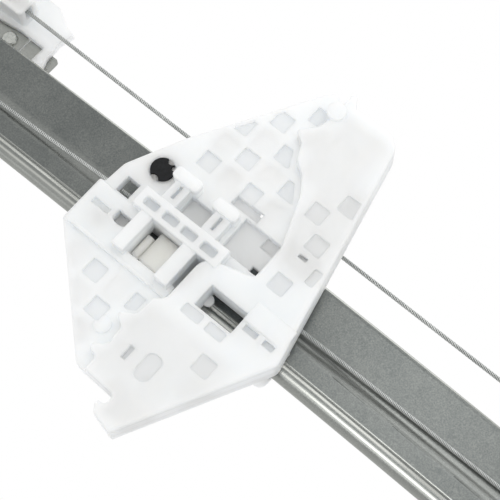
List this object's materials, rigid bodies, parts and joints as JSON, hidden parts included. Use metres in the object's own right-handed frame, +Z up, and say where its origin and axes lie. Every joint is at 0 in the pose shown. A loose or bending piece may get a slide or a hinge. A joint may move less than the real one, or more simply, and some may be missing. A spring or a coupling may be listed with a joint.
{
  "type": "window regulator",
  "caption": "Cable-driven door window regulator: curved flanged rail with rope pulleys, moulded glass carrier and rope drum housing beside the rail, without its motor.",
  "frame": {"origin": "midway between the two door fixing holes, in the plane the mounting feet bolt against", "axes": "+Z up the rail, +X across the rail towards the drum, +Y inboard, away from the glass and towards the motor"},
  "size_m": [0.1538, 0.0578, 0.586],
  "materials": {
    "galvanised_steel": "hot-dip galvanised sheet, satin and slightly mottled",
    "zinc_plated_steel": "bright zinc plated",
    "spring_steel": "drawn wire",
    "wire_rope": "stranded galvanised wire rope, lightly greased",
    "cast_zinc": "as cast",
    "white_acetal": "natural white moulding, slightly translucent, satin",
    "cream_acetal": "cream moulding, satin",
    "black_rubber": "matt"
  },
  "bodies": {
    "frame": {"rail": "galvanised_steel", "upper_bracket": "galvanised_steel", "lower_bracket": "galvanised_steel", "bracket_rivets": "zinc_plated_steel", "upper_pulley_pin": "zinc_plated_steel", "lower_pulley_pin": "zinc_plated_steel", "upper_rope_keeper": "white_acetal", "lower_rope_keeper": "white_acetal", "down_rope": "wire_rope", "up_rope": "wire_rope", "lower_inner_rope": "wire_rope", "upper_inner_rope": "wire_rope", "drum_housing": "white_acetal", "drum_cover": "white_acetal", "motor_sleeves": "zinc_plated_steel", "housing_rivets": "zinc_plated_steel"},
    "carrier": {"carrier_plate": "white_acetal", "upper_guide_shoe": "white_acetal", "lower_guide_shoe": "white_acetal", "slide_insert": "cream_acetal", "bumper": "black_rubber", "lower_nipple": "cast_zinc", "upper_nipple": "cast_zinc", "lower_tension_spring": "spring_steel", "upper_tension_spring": "spring_steel"},
    "drum": {"rope_drum": "white_acetal", "drum_winding": "wire_rope"},
    "upper_rope_pulley": {"upper_pulley": "white_acetal"},
    "lower_rope_pulley": {"lower_pulley": "white_acetal"}
  },
  "joints": [
    {"name": "carrier_travel", "type": "hinge", "parent": "frame", "child": "carrier", "pos_m": [0, 1.41, 0], "axis": [-1, 0, 0], "range_deg": [-7.19, 6.64], "deforming": ["lower_inner_rope", "upper_inner_rope"]},
    {"name": "drum_spin", "type": "hinge", "parent": "frame", "child": "drum", "pos_m": [0.0567, -0.02641, 0.15743], "axis": [0, -0.9986, 0.0523], "range_deg": [-437.3, 404]},
    {"name": "upper_pulley_spin", "type": "hinge", "parent": "frame", "child": "upper_rope_pulley", "pos_m": [0.00905, -0.02553, 0.24431], "axis": [0, -0.9986, 0.0523], "range_deg": [-679, 735.1]},
    {"name": "lower_pulley_spin", "type": "hinge", "parent": "frame", "child": "lower_rope_pulley", "pos_m": [0.01845, -0.02553, -0.24431], "axis": [0, -0.9986, -0.0523], "range_deg": [-679, 735.1]}
  ],
  "couplings": [
    {"joint": "drum_spin", "follows": "carrier_travel", "ratio": 60.542},
    {"joint": "upper_pulley_spin", "follows": "carrier_travel", "ratio": -101.96},
    {"joint": "lower_pulley_spin", "follows": "carrier_travel", "ratio": -101.96}
  ]
}
